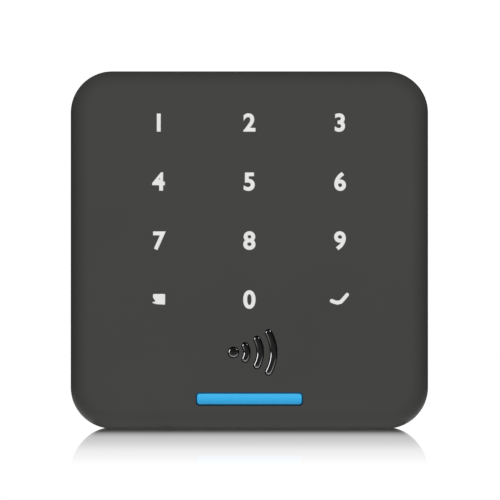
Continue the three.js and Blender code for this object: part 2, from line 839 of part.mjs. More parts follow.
const HOUSING_SCREW = {
  headRadius: 2.5,
  headNear: 3.4,
  headFar: 5.1,
  shankRadius: 1.1,
  shankFar: 15,
};
const KEYPAD_SCREW = {
  headRadius: 1.8,
  headNear: 14.65,
  headFar: 15.8,
  shankRadius: 0.85,
  shankFar: 19.1,
};

// A screw whose head is further from the wall.
function boardScrew(x, z) {
  const head = rod(2, MAIN_BOARD.far + GAP, 15.2, x, z, 12);
  const shank = rod(1, 9, MAIN_BOARD.far + 2 * GAP, x, z, 8);
  const socket = rod(0.9, 14.4, 15.2 + PAST, x, z, 6);
  return cut(join(head, shank), socket);
}

function securityScrew() {
  const head = post(2.3, SECURITY_DEPTH, -42, -40.3, 20);
  const shank = post(1.4, SECURITY_DEPTH, -40.4, -29.2, 16);
  const socket = post(1.15, SECURITY_DEPTH, -42.1, -41, 6);
  const pin = post(0.4, SECURITY_DEPTH, -41.9, -40.9, 8);
  return join(cut(join(head, shank), socket), pin);
}

function captiveWasher() {
  return cut(
    post(2.75, SECURITY_DEPTH, -38.7, -38.2),
    post(1.55, SECURITY_DEPTH, -39, -38, 16),
  );
}

// ---- Assembly ----

const group = new THREE.Group();
group.name = "keypad_access_reader";

function place(name, solid, material) {
  const mesh = new THREE.Mesh(geometryFrom(solid), material);
  mesh.name = name;
  group.add(mesh);
}

// Numbered copies of one piece, one at each place.
function placeEach(name, places, make, material) {
  places.forEach(([x, z], i) => place(`${name}_${i + 1}`, make(x, z), material));
}

const ledAt = (x, z) =>
  block([x - 1.5, x + 1.5], [KEYPAD_BOARD.far + 0.05, KEYPAD_BOARD.far + 0.7], [z - 1.4, z + 1.4]);

place("wall_plate", wallPlate(), MATERIALS.steel);
place("tab_nut", tabNut(), MATERIALS.tin);

place("rear_housing", rearHousing(), MATERIALS.housing);
place("wall_gasket", squareRing(41.3, 40.1, 8.3, 0.1, HOUSING.back - 0.05), MATERIALS.rubber);
place("housing_gasket", squareRing(42, 40.7, 9, 8.3, COVER_BACK - GAP), MATERIALS.rubber);
placeEach(
  "housing_screw",
  fourCorners(HOUSING_SCREW_AT),
  (x, z) => rearScrew(HOUSING_SCREW, x, z),
  MATERIALS.steel,
);

place("front_cover", frontCover(), MATERIALS.cover);
place("legend_light_guide", legendLightGuide(), MATERIALS.legend);
place("status_light_bar", statusLightBar(), MATERIALS.light);
place("card_symbol_insert", cardSymbolInsert(), MATERIALS.chrome);
place("light_baffle", lightBaffle(), MATERIALS.baffle);

place("keypad_board", keypadBoard(), MATERIALS.board);
placeEach(
  "keypad_board_screw",
  fourCorners(KEYPAD_SCREW_AT.x, KEYPAD_SCREW_AT.z),
  (x, z) => rearScrew(KEYPAD_SCREW, x, z),
  MATERIALS.steel,
);
placeEach("key_led", KEYS.map(({ x, z }) => [x, z]), ledAt, MATERIALS.led);
placeEach("status_led", [-8, 0, 8].map((x) => [x, LIGHT_BAR.z]), ledAt, MATERIALS.led);
place("antenna_coil", antennaCoil(), MATERIALS.copper);
place("ferrite_sheet", squareRing(30, 23.5, 8, FERRITE.near, FERRITE.far), MATERIALS.ferrite);

place("main_board", mainBoard(), MATERIALS.board);
placeEach(
  "board_screw",
  fourCorners(BOARD_SCREW_AT.x, BOARD_SCREW_AT.z),
  boardScrew,
  MATERIALS.steel,
);
place("processor_chip", processorChip(), MATERIALS.chip);
place("radio_shield_can", radioShieldCan(), MATERIALS.tin);
place("buzzer", buzzer(), MATERIALS.chip);
place("poe_transformer", poeTransformer(), MATERIALS.chip);
place("power_inductor", powerInductor(), MATERIALS.ferrite);
place("power_capacitor", powerCapacitor(), MATERIALS.aluminium);
place("board_header", boardConnector(MAIN_BOARD.far + 0.05, 15, 7), MATERIALS.connector);
place("board_socket", boardConnector(15.05, KEYPAD_BOARD.near - 0.05, 6.6), MATERIALS.connector);

place("ethernet_jack_shield", jackShield(), MATERIALS.tin);
place("ethernet_jack_insert", jackInsert(), MATERIALS.connector);
place("ethernet_jack_contacts", jackContacts(), MATERIALS.gold);

place("tamper_switch", tamperSwitch(), MATERIALS.connector);
place("tamper_spring", tamperSpring(), MATERIALS.steel);
place("tamper_plunger", tamperPlunger(), MATERIALS.nylon);
place("reset_switch", resetSwitch(), MATERIALS.connector);
place("reset_button", resetButton(), MATERIALS.reset);

place("security_screw", securityScrew(), MATERIALS.steel);
place("captive_washer", captiveWasher(), MATERIALS.nylon);

export default group;
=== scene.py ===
"""A keypad access reader: the looks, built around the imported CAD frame.

The reader faces -Y, +X is right and +Z is up. A depth is a distance out from the wall, so a
depth d lies at y = -d. The reader's own lengths are in millimetres until MM turns them into
metres. The camera, the lamps and the floor are placed in metres.
"""

import json
import math

import bmesh
import bpy
from mathutils import Matrix, Vector


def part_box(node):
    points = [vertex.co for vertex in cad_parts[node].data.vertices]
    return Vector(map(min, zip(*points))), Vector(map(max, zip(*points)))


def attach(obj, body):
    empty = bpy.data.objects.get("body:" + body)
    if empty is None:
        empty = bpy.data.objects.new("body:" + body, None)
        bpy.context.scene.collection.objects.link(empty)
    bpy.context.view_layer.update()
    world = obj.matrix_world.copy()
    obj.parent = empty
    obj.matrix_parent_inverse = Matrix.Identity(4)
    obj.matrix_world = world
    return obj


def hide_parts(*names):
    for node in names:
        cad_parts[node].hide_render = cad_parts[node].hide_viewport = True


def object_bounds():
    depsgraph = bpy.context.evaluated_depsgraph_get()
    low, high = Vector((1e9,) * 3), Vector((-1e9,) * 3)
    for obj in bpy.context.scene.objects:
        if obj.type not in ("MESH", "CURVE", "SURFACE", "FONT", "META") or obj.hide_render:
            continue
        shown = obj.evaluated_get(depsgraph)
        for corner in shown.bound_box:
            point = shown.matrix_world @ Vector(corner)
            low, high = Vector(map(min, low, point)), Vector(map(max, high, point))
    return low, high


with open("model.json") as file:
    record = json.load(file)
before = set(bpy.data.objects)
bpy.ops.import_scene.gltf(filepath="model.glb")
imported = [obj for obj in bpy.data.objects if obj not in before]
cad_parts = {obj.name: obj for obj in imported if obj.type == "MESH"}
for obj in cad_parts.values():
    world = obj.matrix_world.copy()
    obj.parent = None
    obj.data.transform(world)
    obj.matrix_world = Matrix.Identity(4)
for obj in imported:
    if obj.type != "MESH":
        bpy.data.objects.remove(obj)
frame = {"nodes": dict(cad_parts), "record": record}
cad_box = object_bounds()

MM = 0.001
LOW, HIGH = (Vector(corner) for corner in cad_box)
SIDE = (HIGH.x - LOW.x) / MM
DEPTH = -LOW.y / MM
HALF = SIDE / 2

# ---- Sizes that the CAD model shares ----

CORNER = 10
SKIRT = 2.2
ROLL_ACROSS, ROLL_DEEP = 4.5, 5
FACE_BACK = DEPTH - SKIRT
COVER_BACK = -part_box("front_cover")[1][1] / MM  # of its screw posts: the CAD's skirt ends at 9.2
KEY_PITCH_X, KEY_PITCH_Z, TOP_ROW_Z = 21.7, 14.12, 30.45
KEY_ROWS = (("1", "2", "3"), ("4", "5", "6"), ("7", "8", "9"), ("clear", "0", "enter"))
BAR_Z, BAR_HALF_LENGTH, BAR_HALF_HEIGHT = -35.65, 12.85, 1.62
BAR_MOAT = DEPTH - 0.35  # depth of the step round the lit face of the bar
SYMBOL_Z, SYMBOL_DOT_X, SYMBOL_STROKE = -24.5, -3.8, 1.7
SYMBOL_RADII, SYMBOL_SPREAD = (3.2, 6.4, 9.6), 29
HOUSING_SCREW_AT = 34.3
KEYPAD_SCREW_AT = (35.5, 15)

# Depths of the plates behind the face, and where the shapes that reach the face start in them.
GUIDE_NEAR, INSERT_NEAR, PLATES_FAR = 18.7, 18.8, 19.7
RAISED_NEAR = 19.6
PLATE_EDGE = 0.1

# Screw posts inside the cover.
CORNER_POST = {"radius": 3.2, "near": 7.3, "bore": 1.2, "bore_near": 7, "bore_far": 16.5}
BOARD_POST = {"radius": 2.2, "near": 17, "bore": 1, "bore_near": 16.9, "bore_far": 19.4}

# ---- Mesh helpers ----


def link(name, data):
    made = bpy.data.objects.new(name, data)
    bpy.context.scene.collection.objects.link(made)
    return made


def discard(*objects):
    for gone in objects:
        bpy.data.objects.remove(gone, do_unlink=True)


def at(x, depth, z):
    """A point given by x, depth and z in millimetres."""
    return Vector((x * MM, -depth * MM, z * MM))


def rounded_outline(half_x, half_z, radius, z=0, steps=12):
    """Points (x, z) round a rectangle with round corners, anticlockwise."""
    points = []
    for corner, (sx, sz) in enumerate(((1, 1), (-1, 1), (-1, -1), (1, -1))):
        cx = sx * (half_x - radius)
        cz = z + sz * (half_z - radius)
        for i in range(steps + 1):
            angle = math.radians(90 * (corner + i / steps))
            points.append((cx + radius * math.cos(angle), cz + radius * math.sin(angle)))
    return points


def circle_outline(radius, x, z, steps=32):
    turn = 2 * math.pi / steps
    return [(x + radius * math.cos(i * turn), z + radius * math.sin(i * turn)) for i in range(steps)]


def loft(name, rings):
    """A closed mesh over rings of equally many points, each ring (points, depth)."""
    bm = bmesh.new()
    rows = [[bm.verts.new(at(x, depth, z)) for x, z in points] for points, depth in rings]
    count = len(rows[0])
    for row, following in zip(rows, rows[1:]):
        for i in range(count):
            j = (i + 1) % count
            bm.faces.new((row[i], row[j], following[j], following[i]))
    bm.faces.new(reversed(rows[0]))
    bm.faces.new(rows[-1])
    bmesh.ops.recalc_face_normals(bm, faces=bm.faces)
    mesh = bpy.data.meshes.new(name)
    bm.to_mesh(mesh)
    bm.free()
    return link(name, mesh)


def slab_rings(outline, near, far, edge=0.0):
    """Rings of a plate with edges rounded off, where outline(inset) gives its points."""
    if not edge:
        return [(outline(0), near), (outline(0), far)]
    back = [(edge * (1 - math.sin(a)), near + edge * (1 - math.cos(a))) for a in arc_steps()]
    front = [(inset, far - (depth - near)) for inset, depth in reversed(back)]
    return [(outline(inset), depth) for inset, depth in back + front]


def arc_steps(steps=3):
    return [math.pi / 2 * i / steps for i in range(steps + 1)]


def slab(name, half_x, half_z, radius, near, far, z=0.0, edge=0.0):
    """A plate with round corners and, where edge is given, rounded edges."""
    least_radius = 0.02

    def outline(inset):
        corner = max(radius - inset, least_radius)
        return rounded_outline(half_x - inset, half_z - inset, corner, z)

    return loft(name, slab_rings(outline, near, far, edge))


def rod(name, radius, near, far, x, z):
    """A round bar that points away from the wall."""
    outline = circle_outline(radius, x, z)
    return loft(name, [(outline, near), (outline, far)])


# How close two points are merged. A plain cutter is merged coarsely, which closes the small
# loops in a thickened outline.
SAME_POINT, FINE_MERGE, COARSE_MERGE = 0.0005, 0.002, 0.08


def curve_solid(name, curve, near, far, grow=0.0, edge=0.0, place=(0, 0)):
    """A flat curve or text as a closed solid from one depth to another."""
    half = (far - near) / 2
    curve.extrude = (half - edge) * MM
    curve.bevel_depth = edge * MM
    curve.bevel_resolution = 4
    curve.offset = (grow - edge) * MM
    curve.fill_mode = "BOTH"
    drawn = link(name + "_curve", curve)
    turn = Matrix.Rotation(math.pi / 2, 4, "X")
    drawn.matrix_world = Matrix.Translation(at(place[0], (near + far) / 2, place[1])) @ turn
    bpy.context.view_layer.update()
    evaluated = drawn.evaluated_get(bpy.context.evaluated_depsgraph_get())
    mesh = bpy.data.meshes.new_from_object(evaluated)
    mesh.transform(drawn.matrix_world)
    discard(drawn)
    bm = bmesh.new()
    bm.from_mesh(mesh)
    merge = FINE_MERGE if edge else COARSE_MERGE
    bmesh.ops.remove_doubles(bm, verts=bm.verts, dist=merge * MM)
    bmesh.ops.dissolve_degenerate(bm, edges=bm.edges, dist=SAME_POINT * MM)
    bmesh.ops.recalc_face_normals(bm, faces=bm.faces)
    bm.to_mesh(mesh)
    bm.free()
    return link(name, mesh)


def outline_curve(name, outlines):
    """A flat curve of closed outlines, each a list of (x, z) points in millimetres."""
    curve = bpy.data.curves.new(name, "CURVE")
    curve.dimensions = "2D"
    for outline in outlines:
        spline = curve.splines.new("POLY")
        spline.points.add(len(outline) - 1)
        for spline_point, (x, z) in zip(spline.points, outline):
            spline_point.co = (x * MM, z * MM, 0, 1)
        spline.use_cyclic_u = True
    return curve


def join(name, objects):
    """One object with the meshes of all of these, which are used up."""
    bm = bmesh.new()
    for part in objects:
        bm.from_mesh(part.data)
    mesh = bpy.data.meshes.new(name)
    bm.to_mesh(mesh)
    bm.free()
    discard(*objects)
    return link(name, mesh)


def boolean(target, tool, operation):
    """Joins the tool to the target's mesh, or cuts it away. The tool is used up."""
    modifier = target.modifiers.new("boolean", "BOOLEAN")
    modifier.operation = operation
    modifier.solver = "EXACT"
    modifier.use_self = True
    modifier.object = tool
    bpy.context.view_layer.update()
    evaluated = target.evaluated_get(bpy.context.evaluated_depsgraph_get())
    mesh = bpy.data.meshes.new_from_object(evaluated)
    target.modifiers.clear()
    target.data = mesh
    discard(tool)


CRISP_ANGLE = 30


def shade(piece):
    """Smooth shading, with edges sharper than the angle left crisp."""
    for polygon in piece.data.polygons:
        polygon.use_smooth = True
    piece.data.set_sharp_from_angle(angle=math.radians(CRISP_ANGLE))
    weighted = piece.modifiers.new("weighted_normals", "WEIGHTED_NORMAL")
    weighted.keep_sharp = True


def finish_piece(piece, material, body, replaced):
    piece.data.materials.clear()
    piece.data.materials.append(material)
    shade(piece)
    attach(piece, body)
    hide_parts(*replaced)
    return piece


# ---- Materials ----


class Nodes:
    """A material's node tree, with short ways to add the nodes that this script uses."""

    def __init__(self, name):
        self.material = bpy.data.materials.new(name)
        self.material.use_nodes = True
        self.tree = self.material.node_tree
        self.shader = self.tree.nodes["Principled BSDF"]
        self.place = self.add("TexCoord").outputs["Object"]

    def add(self, kind, **settings):
        node = self.tree.nodes.new("ShaderNode" + kind)
        for key, value in settings.items():
            setattr(node, key, value)
        return node

    def link(self, output, target):
        self.tree.links.new(output, target)

    def noise(self, size_mm, detail=2.0, stretch=(1, 1, 1)):
        """Noise with features of about this size."""
        mapping = self.add("Mapping")
        mapping.inputs["Scale"].default_value = stretch
        self.link(self.place, mapping.inputs["Vector"])
        texture = self.add("TexNoise")
        texture.inputs["Scale"].default_value = 1 / (size_mm * MM)
        texture.inputs["Detail"].default_value = detail
        self.link(mapping.outputs["Vector"], texture.inputs["Vector"])
        return texture.outputs["Fac"]

    def ramp(self, factor, stops):
        """A colour ramp; each stop is (position, colour)."""
        node = self.add("ValToRGB")
        elements = node.color_ramp.elements
        while len(elements) < len(stops):
            elements.new(0.5)
        for element, (position, color) in zip(elements, stops):
            element.position = position
            element.color = (*color, 1)
        self.link(factor, node.inputs["Fac"])
        return node.outputs["Color"]

    def to_range(self, factor, low, high, source=(0.3, 0.7)):
        node = self.add("MapRange")
        node.inputs["From Min"].default_value = source[0]
        node.inputs["From Max"].default_value = source[1]
        node.inputs["To Min"].default_value = low
        node.inputs["To Max"].default_value = high
        self.link(factor, node.inputs["Value"])
        return node.outputs["Result"]

    def bump(self, heights, strength, depth_mm):
        """Bump from one or more height outputs, one on top of the other."""
        normal = None
        for height in heights:
            node = self.add("Bump")
            node.inputs["Strength"].default_value = strength
            node.inputs["Distance"].default_value = depth_mm * MM
            self.link(height, node.inputs["Height"])
            if normal:
                self.link(normal, node.inputs["Normal"])
            normal = node.outputs["Normal"]
        self.link(normal, self.shader.inputs["Normal"])


def tinted(color, factor):
    return tuple(min(channel * factor, 1) for channel in color)


def surface(name, color, roughness, metallic=0.0, grain=0.12, blotch=9, vary=0.06, depth=0.01,
            stretch=(1, 1, 1), rough_vary=0.05):
    """A moulded or metal surface: slow colour variation, grain, and roughness to match.

    The grain and the blotches are given by their size, and the grain by its depth too.
    """
    nodes = Nodes(name)
    shader = nodes.shader
    fine = nodes.noise(grain, 2, stretch)
    slow = nodes.noise(blotch, 3)
    colors = nodes.ramp(slow, ((0.3, tinted(color, 1 - vary)), (0.7, tinted(color, 1 + vary))))
    nodes.link(colors, shader.inputs["Base Color"])
    rough = nodes.to_range(fine, roughness - rough_vary, roughness + rough_vary)
    nodes.link(rough, shader.inputs["Roughness"])
    shader.inputs["Metallic"].default_value = metallic
    nodes.bump([fine], 0.35, depth)
    return nodes.material


def board_material():
    """Green solder mask with raised tracks and pale pads."""
    nodes = Nodes("circuit_board")
    shader = nodes.shader
    brick = nodes.add("TexBrick")
    mapping = nodes.add("Mapping")
    mapping.inputs["Rotation"].default_value = (math.pi / 2, 0, 0)
    nodes.link(nodes.place, mapping.inputs["Vector"])
    nodes.link(mapping.outputs["Vector"], brick.inputs["Vector"])
    brick.inputs["Scale"].default_value = 260
    brick.inputs["Mortar Size"].default_value = 0.035
    brick.inputs["Color1"].default_value = (0.012, 0.075, 0.03, 1)
    brick.inputs["Color2"].default_value = (0.009, 0.06, 0.024, 1)
    brick.inputs["Mortar"].default_value = (0.03, 0.15, 0.06, 1)
    nodes.link(brick.outputs["Color"], shader.inputs["Base Color"])
    weave = nodes.noise(0.4, 2)
    nodes.link(nodes.to_range(weave, 0.28, 0.4), shader.inputs["Roughness"])
    nodes.bump([brick.outputs["Fac"], weave], 0.3, 0.03)
    return nodes.material


def legend_material():
    """A white light guide, lit from behind a little unevenly."""
    nodes = Nodes("legend_white")
    shader = nodes.shader
    cloud = nodes.noise(2.5, 2)
    lit = nodes.ramp(cloud, ((0.35, (0.76, 0.765, 0.76)), (0.7, (0.86, 0.86, 0.85))))
    nodes.link(lit, shader.inputs["Emission Color"])
    shader.inputs["Emission Strength"].default_value = 0.5
    shader.inputs["Base Color"].default_value = (0.42, 0.42, 0.41, 1)
    shader.inputs["Roughness"].default_value = 0.4
    nodes.bump([nodes.noise(0.2, 2)], 0.2, 0.01)
    return nodes.material


def light_bar_material():
    """A blue diffuser: brightest near its upper edge, with painted shade in deep blue where it enters its
    slot.
    """
    nodes = Nodes("status_blue")
    shader = nodes.shader
    split = nodes.add("SeparateXYZ")
    nodes.link(nodes.place, split.inputs["Vector"])
    bottom = (BAR_Z - BAR_HALF_HEIGHT) * MM
    top = (BAR_Z + BAR_HALF_HEIGHT) * MM
    height = nodes.to_range(split.outputs["Z"], 0, 1, (bottom, top))
    front = nodes.ramp(
        height,
        (
            (0.1, (0.024, 0.18, 0.32)),
            (0.3, (0.022, 0.22, 0.42)),
            (0.6, (0.028, 0.28, 0.53)),
            (0.9, (0.046, 0.287, 0.493)),
        ),
    )
    # Painted shade: the lens's sides down in the moat glow a dim deep blue in place of the shadow there.
    moat_painted_shade = nodes.ramp(height, ((0.0, (0.0, 0.019, 0.043)), (1.0, (0.0036, 0.055, 0.122))))
    moat_shade_depth, front_depth = BAR_MOAT + 0.05, BAR_MOAT + 0.2
    at_front = nodes.to_range(split.outputs["Y"], 0, 1, (-moat_shade_depth * MM, -front_depth * MM))
    glow_and_painted_shade = nodes.add("Mix", data_type="RGBA")
    nodes.link(at_front, glow_and_painted_shade.inputs["Factor"])
    nodes.link(moat_painted_shade, glow_and_painted_shade.inputs["A"])
    nodes.link(front, glow_and_painted_shade.inputs["B"])
    nodes.link(glow_and_painted_shade.outputs["Result"], shader.inputs["Emission Color"])
    nodes.link(glow_and_painted_shade.outputs["Result"], shader.inputs["Base Color"])
    shader.inputs["Emission Strength"].default_value = 0.68
    shader.inputs["Roughness"].default_value = 0.35
    shader.inputs["Specular IOR Level"].default_value = 0.3
    nodes.bump([nodes.noise(0.3, 2)], 0.15, 0.01)
    return nodes.material


COVER_GREY = (0.06, 0.06, 0.0575)

MATERIALS = {
    "cover_plastic": surface(
        "cover_plastic", COVER_GREY, 0.46, grain=0.16, blotch=26, vary=0.03, depth=0.006
    ),
    "housing_plastic": surface(
        "housing_plastic", (0.04, 0.04, 0.04), 0.55, grain=0.35, blotch=18, vary=0.08, depth=0.03
    ),
    "plate_steel": surface(
        "plate_steel", (0.55, 0.56, 0.57), 0.38, metallic=1,
        grain=0.2, blotch=7, vary=0.05, depth=0.003, stretch=(1, 1, 0.12),
    ),
    "screw_steel": surface(
        "screw_steel", (0.6, 0.6, 0.59), 0.28, metallic=1,
        grain=0.2, blotch=1.5, vary=0.1, depth=0.008, rough_vary=0.08,
    ),
    "legend_white": legend_material(),
    "status_blue": light_bar_material(),
    "symbol_chrome": surface(
        "symbol_chrome", (0.36, 0.36, 0.37), 0.1, metallic=1,
        grain=0.6, blotch=4, vary=0.03, depth=0.002, rough_vary=0.03,
    ),
    "baffle_white": surface("baffle_white", (0.78, 0.78, 0.76), 0.6),
    "seal_rubber": surface("seal_rubber", (0.018, 0.018, 0.018), 0.82, grain=0.3, vary=0.2, depth=0.06),
    "circuit_board": board_material(),
    "component_black": surface("component_black", (0.02, 0.02, 0.022), 0.5, grain=0.15, depth=0.015),
    "led_package": surface("led_package", (0.85, 0.83, 0.6), 0.35, grain=0.2, blotch=1),
    "copper": surface("copper", (0.62, 0.26, 0.12), 0.3, metallic=1, grain=0.3, blotch=3, vary=0.12),
    "ferrite": surface("ferrite", (0.05, 0.052, 0.056), 0.7, grain=0.25, vary=0.12, depth=0.03),
    "tinned_steel": surface(
        "tinned_steel", (0.62, 0.63, 0.62), 0.3, metallic=1,
        grain=0.4, blotch=2.5, vary=0.1, depth=0.008, stretch=(1, 1, 0.15),
    ),
    "capacitor_can": surface(
        "capacitor_can", (0.6, 0.61, 0.63), 0.3, metallic=1, grain=0.3, blotch=2, vary=0.06
    ),
    "contact_gold": surface(
        "contact_gold", (0.78, 0.54, 0.2), 0.22, metallic=1, grain=0.2, blotch=1, vary=0.08
    ),
    "nylon": surface("nylon", (0.72, 0.7, 0.63), 0.45, grain=0.2, blotch=2),
    "reset_red": surface("reset_red", (0.32, 0.03, 0.02), 0.4, grain=0.15, blotch=1.5),
}

# ---- Legends and symbols ----

DIGIT_SIZE = 5.85
DIGIT_WEIGHT = 0.15
DIGIT_DROP = 0.19  # the font centres its digits this much above their middle
TICK = ((-1.98, -0.26), (-1.38, -0.53), (-0.57, -0.72), (0.22, -0.5), (1.1, 0.48), (1.7, 1.2))
TICK_STROKE = 0.84
BLOCK = (
    (-1.35, 1.34), (-1.35, 0.55), (-0.68, -0.42), (-1.6, -0.64), (-0.75, -1), (1.5, -1.14), (1.5, 1.34)
)
BLOCK_ROUNDING = 0.22
SYMBOL_DOT_RADIUS = SYMBOL_STROKE * 0.78


def ribbon_outline(points, width, cap_steps=8):
    """The outline of a line of even width with round ends through these (x, z) points."""
    path = [Vector(p) for p in points]
    left, right = [], []
    for i, here in enumerate(path):
        before = (here - path[i - 1]).normalized() if i else (path[1] - here).normalized()
        after = (path[i + 1] - here).normalized() if i < len(path) - 1 else before
        middle = (before + after).normalized()
        offset = Vector((-middle.y, middle.x)) * (width / 2 / middle.dot(before))
        left.append(here + offset)
        right.append(here - offset)

    def cap(end, side):
        start = math.atan2((side - end).y, (side - end).x)
        steps = range(1, cap_steps)
        angles = [start + math.pi * i / cap_steps for i in steps]
        return [end + Vector((math.cos(a), math.sin(a))) * width / 2 for a in angles]

    outline = right + cap(path[-1], right[-1]) + left[::-1] + cap(path[0], left[0])
    return [(p.x, p.y) for p in outline]


def arc_points(x, z, radius, first, last, steps=24):
    angles = [math.radians(first + (last - first) * i / steps) for i in range(steps + 1)]
    return [(x + radius * math.cos(a), z + radius * math.sin(a)) for a in angles]


def rounded_polygon(corners, radius, steps=4):
    """A polygon with each corner rounded off by a short curve."""
    points = []
    count = len(corners)
    for i, corner in enumerate(corners):
        here = Vector(corner)
        start = here + (Vector(corners[i - 1]) - here).normalized() * radius
        end = here + (Vector(corners[(i + 1) % count]) - here).normalized() * radius
        for k in range(steps + 1):
            t = k / steps
            point = start * (1 - t) ** 2 + here * 2 * t * (1 - t) + end * t**2
            points.append((point.x, point.y))
    return points


def legend_curve(legend):
    """The flat curve of one key's legend, and how far its outline is thickened."""
    if legend.isdigit():
        text = bpy.data.curves.new("legend", "FONT")
        text.body = legend
        text.align_x = "CENTER"
        text.align_y = "CENTER"
        text.size = DIGIT_SIZE * MM
        text.resolution_u = 6
        return text, DIGIT_WEIGHT
    if legend == "enter":
        return outline_curve("legend", [ribbon_outline(TICK, TICK_STROKE)]), 0
    return outline_curve("legend", [rounded_polygon(BLOCK, BLOCK_ROUNDING)]), 0


def key_places():
    for row, legends in enumerate(KEY_ROWS):
        for column, legend in enumerate(legends):
            yield legend, ((column - 1) * KEY_PITCH_X, TOP_ROW_Z - row * KEY_PITCH_Z)


def legend_solids(near, far, grow=0.0, edge=0.0):
    solids = []
    for legend, place in key_places():
        curve, weight = legend_curve(legend)
        x, z = place
        if legend.isdigit():
            z -= DIGIT_DROP
        solids.append(curve_solid("legend_" + legend, curve, near, far, weight + grow, edge, (x, z)))
    return solids


def symbol_outlines():
    arcs = [
        ribbon_outline(arc_points(SYMBOL_DOT_X, 0, radius, -SYMBOL_SPREAD, SYMBOL_SPREAD), SYMBOL_STROKE)
        for radius in SYMBOL_RADII
    ]
    return [circle_outline(SYMBOL_DOT_RADIUS, SYMBOL_DOT_X, 0), *arcs]


def symbol_solids(near, far, grow=0.0, edge=0.0):
    curves = [outline_curve("symbol", [outline]) for outline in symbol_outlines()]
    return [
        curve_solid("symbol_stroke", curve, near, far, grow, edge, (0, SYMBOL_Z)) for curve in curves
    ]


# ---- The front cover and what shows through it ----

SLOT_PLAY = 0.07  # between the legends or the symbol and their slots
POST_ROOT = 0.2  # how far a post runs into the face
PAST = 0.4  # how far a slot's cutter runs past the face
NECK_PLAY, MOAT_WIDTH = 0.08, 0.36  # between the light bar and its slot, deep down and in front
BAR_CORNER, LENS_CORNER = 0.9, 0.62
LEGEND_RECESS, SYMBOL_RECESS, LENS_RECESS = 0.03, 0.02, 0.05  # below the face
LEGEND_EDGE, SYMBOL_EDGE, NECK_EDGE, LENS_EDGE = 0.05, 0.5, 0.05, 0.1


def four_places(x, z=None):
    z = x if z is None else z
    return [(-x, z), (x, z), (-x, -z), (x, -z)]


def cover_shell():
    """The cover's outside rolls over an ellipse into the flat face, and its inside is plain."""

    def ring(inset, depth):
        radius = max(CORNER - inset, 0.5)
        return rounded_outline(HALF - inset, HALF - inset, radius, steps=20), depth

    chamfer = 0.25
    rings = [
        ring(SKIRT, FACE_BACK),
        ring(SKIRT, COVER_BACK + chamfer),
        ring(SKIRT - chamfer, COVER_BACK),
        ring(chamfer, COVER_BACK),
        ring(0, COVER_BACK + chamfer),
    ]
    roll_steps = 14
    for i in range(roll_steps + 1):
        angle = math.pi / 2 * i / roll_steps
        inset = ROLL_ACROSS * (1 - math.cos(angle))
        depth = DEPTH - ROLL_DEEP * (1 - math.sin(angle))
        rings.append(ring(inset, depth))
    return loft("front_cover_fine", rings)


def posts(size, places):
    return [rod("post", size["radius"], size["near"], FACE_BACK + POST_ROOT, x, z) for x, z in places]


def bores(size, places):
    return [rod("bore", size["bore"], size["bore_near"], size["bore_far"], x, z) for x, z in places]


def bar_shape(name, inset, corner, near, far, edge=0.0):
    """A shape that is this much smaller all round than the light bar's slot."""
    half_x = BAR_HALF_LENGTH - inset
    half_z = BAR_HALF_HEIGHT - inset
    return slab(name, half_x, half_z, corner, near, far, BAR_Z, edge)


def make_front_cover():
    cover = cover_shell()
    corners = four_places(HOUSING_SCREW_AT)
    board_corners = four_places(*KEYPAD_SCREW_AT)
    all_posts = posts(CORNER_POST, corners) + posts(BOARD_POST, board_corners)
    boolean(cover, join("posts", all_posts), "UNION")
    near, far = FACE_BACK - PAST, DEPTH + PAST
    cuts = bores(CORNER_POST, corners) + bores(BOARD_POST, board_corners)
    cuts += legend_solids(near, far, SLOT_PLAY)
    cuts += symbol_solids(near, far, SLOT_PLAY)
    cuts.append(bar_shape("bar_slot", 0, BAR_CORNER, near, far))
    boolean(cover, join("cuts", cuts), "DIFFERENCE")
    return finish_piece(cover, MATERIALS["cover_plastic"], "reader", ["front_cover"])


def make_legends():
    plate = slab("key_legends", 28, 26, 2, GUIDE_NEAR, PLATES_FAR, z=9.5, edge=PLATE_EDGE)
    studs = join("studs", legend_solids(RAISED_NEAR, DEPTH - LEGEND_RECESS, 0, LEGEND_EDGE))
    boolean(plate, studs, "UNION")
    finish_piece(plate, MATERIALS["legend_white"], "reader", ["legend_light_guide"])


def make_light_bar():
    """A plate behind the face, a neck in the slot and a lit lens with a moat round it."""
    bar = slab("light_bar_lens", 14, 2.9, 1, INSERT_NEAR, PLATES_FAR, BAR_Z, PLATE_EDGE)
    neck = bar_shape("neck", NECK_PLAY, BAR_CORNER, RAISED_NEAR, BAR_MOAT, NECK_EDGE)
    lens_near = BAR_MOAT - 0.2
    lens = bar_shape("lens", MOAT_WIDTH, LENS_CORNER, lens_near, DEPTH - LENS_RECESS, LENS_EDGE)
    boolean(bar, neck, "UNION")
    boolean(bar, lens, "UNION")
    finish_piece(bar, MATERIALS["status_blue"], "reader", ["status_light_bar"])


def make_card_symbol():
    plate = slab("card_symbol_chrome", 7.8, 6.7, 1.5, INSERT_NEAR, PLATES_FAR, SYMBOL_Z, PLATE_EDGE)
    strokes = join("strokes", symbol_solids(RAISED_NEAR, DEPTH - SYMBOL_RECESS, 0, SYMBOL_EDGE))
    boolean(plate, strokes, "UNION")
    return finish_piece(
        plate, MATERIALS["symbol_chrome"], "reader", ["card_symbol_insert"]
    )


# ---- CAD nodes that stay: a finish, and softened edges ----


# Faces that meet at less than FLAT_ANGLE become one, and edges over EDGE_ANGLE are rounded.
FLAT_ANGLE, EDGE_ANGLE = 0.5, 28
EDGE_WIDTH = 0.06
WIDER_EDGES = {"rear_housing": 0.25, "wall_plate": 0.12, "wall_gasket": 0.3, "housing_gasket": 0.15}


